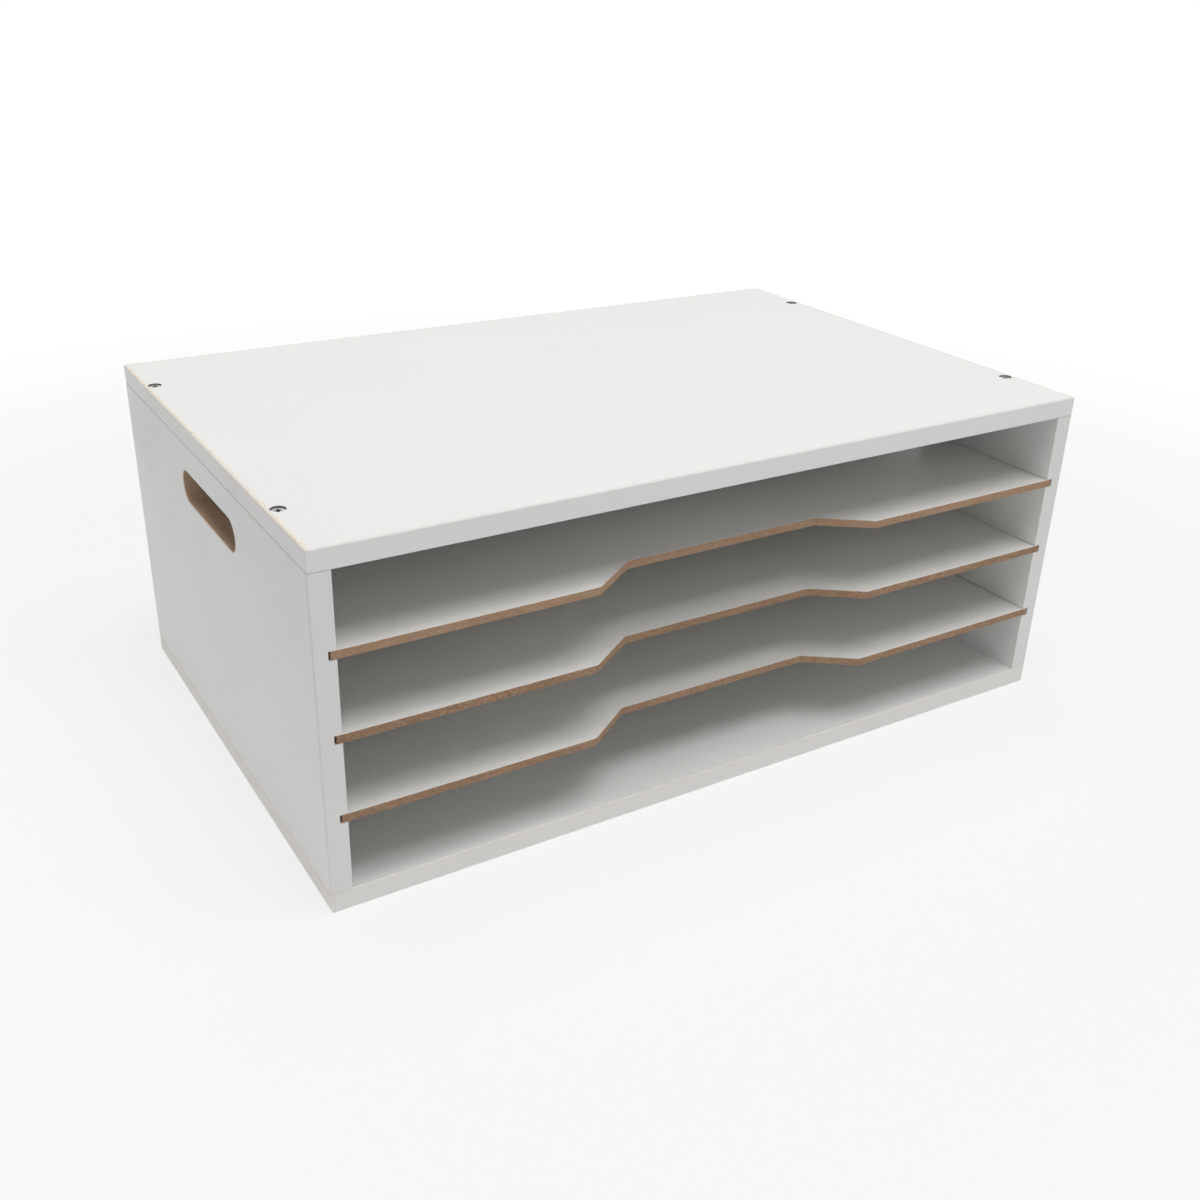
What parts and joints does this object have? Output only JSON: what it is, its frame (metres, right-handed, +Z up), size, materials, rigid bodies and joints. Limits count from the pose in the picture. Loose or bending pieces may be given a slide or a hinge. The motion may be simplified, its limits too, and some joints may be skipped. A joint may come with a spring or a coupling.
{
  "type": "literature organizer",
  "caption": "White laminated-board desktop paper sorter, open at the front, with sliding shelves in grooved side panels and hand holes for lifting.",
  "frame": {"origin": "middle of the footprint, on the surface that the organizer stands on", "axes": "+X to the right seen from the front, +Y to the back, +Z up; the open front faces -Y"},
  "size_m": [0.508, 0.3302, 0.2057],
  "materials": {
    "white_laminated_board": "white melamine face on a brown fibreboard core, satin",
    "thin_white_board": "white laminate on both faces, raw brown fibreboard edges",
    "edging_strip": "white edging strip with cream corners",
    "zinc_plated_screw": "bright zinc plate",
    "beech_dowel": "plain beech"
  },
  "bodies": {
    "carcass": {"top_panel": "white_laminated_board", "bottom_panel": "white_laminated_board", "left_side_panel": "white_laminated_board", "right_side_panel": "white_laminated_board", "back_panel": "thin_white_board", "top_band_front": "edging_strip", "top_band_rear": "edging_strip", "top_band_left": "edging_strip", "top_band_right": "edging_strip", "bottom_band_front": "edging_strip", "bottom_band_rear": "edging_strip", "bottom_band_left": "edging_strip", "bottom_band_right": "edging_strip", "left_side_band_front": "edging_strip", "left_side_band_rear": "edging_strip", "right_side_band_front": "edging_strip", "right_side_band_rear": "edging_strip", "top_screws": "zinc_plated_screw", "bottom_screws": "zinc_plated_screw", "top_dowels": "beech_dowel", "bottom_dowels": "beech_dowel"},
    "upper_shelf": {"shelf_upper": "thin_white_board"},
    "middle_shelf": {"shelf_middle": "thin_white_board"},
    "lower_shelf": {"shelf_lower": "thin_white_board"}
  },
  "joints": [
    {"name": "upper_shelf_slide", "type": "slide", "parent": "carcass", "child": "upper_shelf", "axis": [0, -1, 0], "range_m": [0, 0.32]},
    {"name": "middle_shelf_slide", "type": "slide", "parent": "carcass", "child": "middle_shelf", "axis": [0, -1, 0], "range_m": [0, 0.32]},
    {"name": "lower_shelf_slide", "type": "slide", "parent": "carcass", "child": "lower_shelf", "axis": [0, -1, 0], "range_m": [0, 0.32]}
  ]
}
